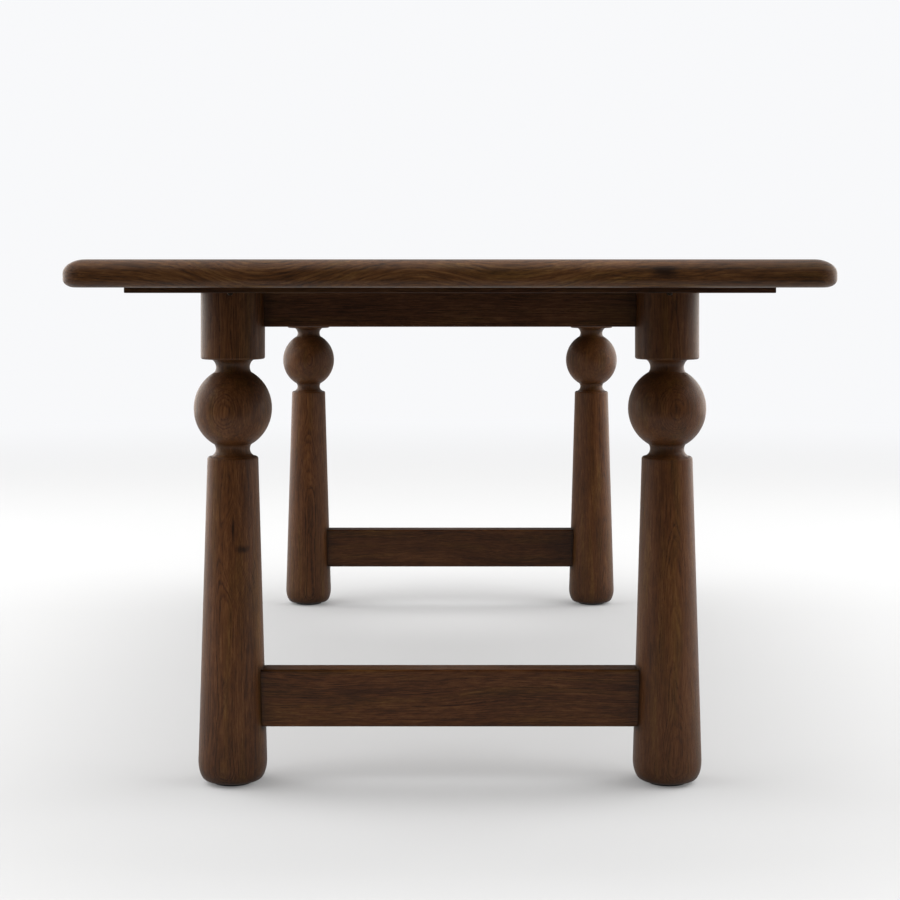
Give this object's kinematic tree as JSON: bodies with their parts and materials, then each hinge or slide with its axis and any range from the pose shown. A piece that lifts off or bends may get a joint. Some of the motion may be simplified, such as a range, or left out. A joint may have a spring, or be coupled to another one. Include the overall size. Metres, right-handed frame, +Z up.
{
  "type": "dining table",
  "caption": "Long rectangular dining table: a thick soft-edged plank top on turned ball legs, paired at each end by an upper rail and a low stretcher.",
  "frame": {"origin": "on the floor, under the middle of the table", "axes": "+Z up, +Y along the table from the front pair of legs to the back pair, +X across it, to the right seen from the front end"},
  "size_m": [1.016, 2.134, 0.762],
  "materials": {
    "top_oak": "dark fumed oak, matt oil, softly worn",
    "leg_oak": "dark fumed oak, satin, turned",
    "rail_oak": "dark fumed oak, satin",
    "batten_oak": "very dark brown stain, matt",
    "peg_oak": "dark oak end grain",
    "screw_steel": "blackened steel",
    "glide_nylon": "dark brown nylon"
  },
  "bodies": {
    "root": {"top_plank_1": "top_oak", "top_plank_2": "top_oak", "top_plank_3": "top_oak", "top_plank_4": "top_oak", "top_plank_5": "top_oak", "top_plank_6": "top_oak", "top_plank_7": "top_oak", "breadboard_front": "top_oak", "breadboard_pegs_front": "peg_oak", "batten_front": "batten_oak", "rail_front": "rail_oak", "stretcher_front": "rail_oak", "frame_screws_front": "screw_steel", "top_screws_front": "screw_steel", "leg_front_left": "leg_oak", "glide_front_left": "glide_nylon", "leg_front_right": "leg_oak", "glide_front_right": "glide_nylon", "breadboard_back": "top_oak", "breadboard_pegs_back": "peg_oak", "batten_back": "batten_oak", "rail_back": "rail_oak", "stretcher_back": "rail_oak", "frame_screws_back": "screw_steel", "top_screws_back": "screw_steel", "leg_back_left": "leg_oak", "glide_back_left": "glide_nylon", "leg_back_right": "leg_oak", "glide_back_right": "glide_nylon", "glide_screws": "screw_steel"}
  },
  "joints": []
}
